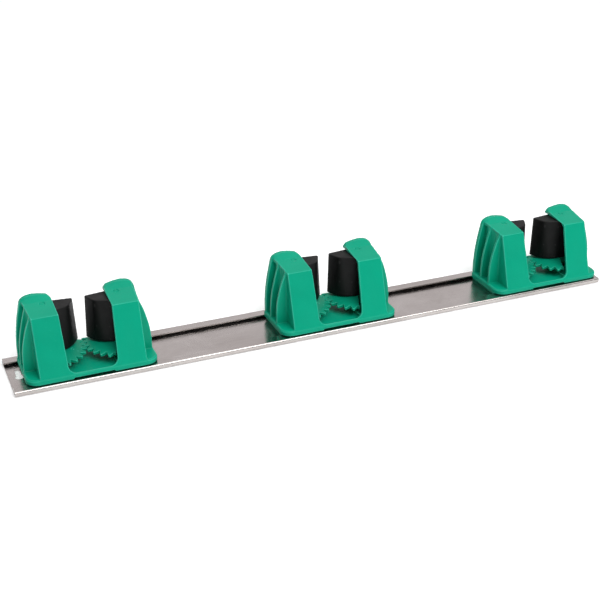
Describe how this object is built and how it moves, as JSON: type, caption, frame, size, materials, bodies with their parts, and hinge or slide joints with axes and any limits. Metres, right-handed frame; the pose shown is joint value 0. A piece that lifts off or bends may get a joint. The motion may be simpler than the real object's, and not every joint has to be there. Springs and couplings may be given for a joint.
{
  "type": "tool handle holder rail",
  "caption": "Wall rail of folded sheet steel with sliding plastic holders that grip broom and tool handles between spring-returned rubber cams turned together by gear sectors.",
  "frame": {"origin": "middle of the rail's flat back face", "axes": "+X along the rail, +Y up on the wall (the way a handle is pushed in), +Z straight away from the wall"},
  "size_m": [0.5003, 0.057, 0.0584],
  "materials": {
    "rail_steel": "satin",
    "green_plastic": "satin",
    "rubber": "matt",
    "pin_steel": "polished",
    "spring_steel": "satin"
  },
  "bodies": {
    "rail": {"rail": "rail_steel"},
    "holder_a": {"housing_a": "green_plastic", "pin_left_a": "pin_steel", "pin_right_a": "pin_steel", "spring_left_a": "spring_steel", "spring_right_a": "spring_steel"},
    "left_cam_a": {"gear_core_left_a": "green_plastic", "cam_left_a": "rubber"},
    "right_cam_a": {"gear_core_right_a": "green_plastic", "cam_right_a": "rubber"},
    "holder_b": {"housing_b": "green_plastic", "pin_left_b": "pin_steel", "pin_right_b": "pin_steel", "spring_left_b": "spring_steel", "spring_right_b": "spring_steel"},
    "left_cam_b": {"gear_core_left_b": "green_plastic", "cam_left_b": "rubber"},
    "right_cam_b": {"gear_core_right_b": "green_plastic", "cam_right_b": "rubber"},
    "holder_c": {"housing_c": "green_plastic", "pin_left_c": "pin_steel", "pin_right_c": "pin_steel", "spring_left_c": "spring_steel", "spring_right_c": "spring_steel"},
    "left_cam_c": {"gear_core_left_c": "green_plastic", "cam_left_c": "rubber"},
    "right_cam_c": {"gear_core_right_c": "green_plastic", "cam_right_c": "rubber"}
  },
  "joints": [
    {"name": "holder_a_slide", "type": "slide", "parent": "rail", "child": "holder_a", "axis": [1, 0, 0], "range_m": [-0.008, 0.045]},
    {"name": "left_cam_a_turn", "type": "hinge", "parent": "holder_a", "child": "left_cam_a", "pos_m": [-0.2184, 0.0058, 0.03], "axis": [0, 0, 1], "range_deg": [0, 60], "stiffness_Nm_per_rad": 0.05, "springref_deg": -14.9},
    {"name": "right_cam_a_turn", "type": "hinge", "parent": "holder_a", "child": "right_cam_a", "pos_m": [-0.1626, 0.0058, 0.03], "axis": [0, 0, 1], "range_deg": [-60, 0], "stiffness_Nm_per_rad": 0.05, "springref_deg": 14.9},
    {"name": "holder_b_slide", "type": "slide", "parent": "rail", "child": "holder_b", "axis": [1, 0, 0], "range_m": [-0.045, 0.045]},
    {"name": "left_cam_b_turn", "type": "hinge", "parent": "holder_b", "child": "left_cam_b", "pos_m": [-0.0189, 0.0058, 0.03], "axis": [0, 0, 1], "range_deg": [0, 60], "stiffness_Nm_per_rad": 0.05, "springref_deg": -14.9},
    {"name": "right_cam_b_turn", "type": "hinge", "parent": "holder_b", "child": "right_cam_b", "pos_m": [0.0369, 0.0058, 0.03], "axis": [0, 0, 1], "range_deg": [-60, 0], "stiffness_Nm_per_rad": 0.05, "springref_deg": 14.9},
    {"name": "holder_c_slide", "type": "slide", "parent": "rail", "child": "holder_c", "axis": [1, 0, 0], "range_m": [-0.045, 0]},
    {"name": "left_cam_c_turn", "type": "hinge", "parent": "holder_c", "child": "left_cam_c", "pos_m": [0.1727, 0.0058, 0.03], "axis": [0, 0, 1], "range_deg": [0, 60], "stiffness_Nm_per_rad": 0.05, "springref_deg": -14.9},
    {"name": "right_cam_c_turn", "type": "hinge", "parent": "holder_c", "child": "right_cam_c", "pos_m": [0.2285, 0.0058, 0.03], "axis": [0, 0, 1], "range_deg": [-60, 0], "stiffness_Nm_per_rad": 0.05, "springref_deg": 14.9}
  ],
  "couplings": [
    {"joint": "right_cam_a_turn", "follows": "left_cam_a_turn", "ratio": -1},
    {"joint": "right_cam_b_turn", "follows": "left_cam_b_turn", "ratio": -1},
    {"joint": "right_cam_c_turn", "follows": "left_cam_c_turn", "ratio": -1}
  ]
}
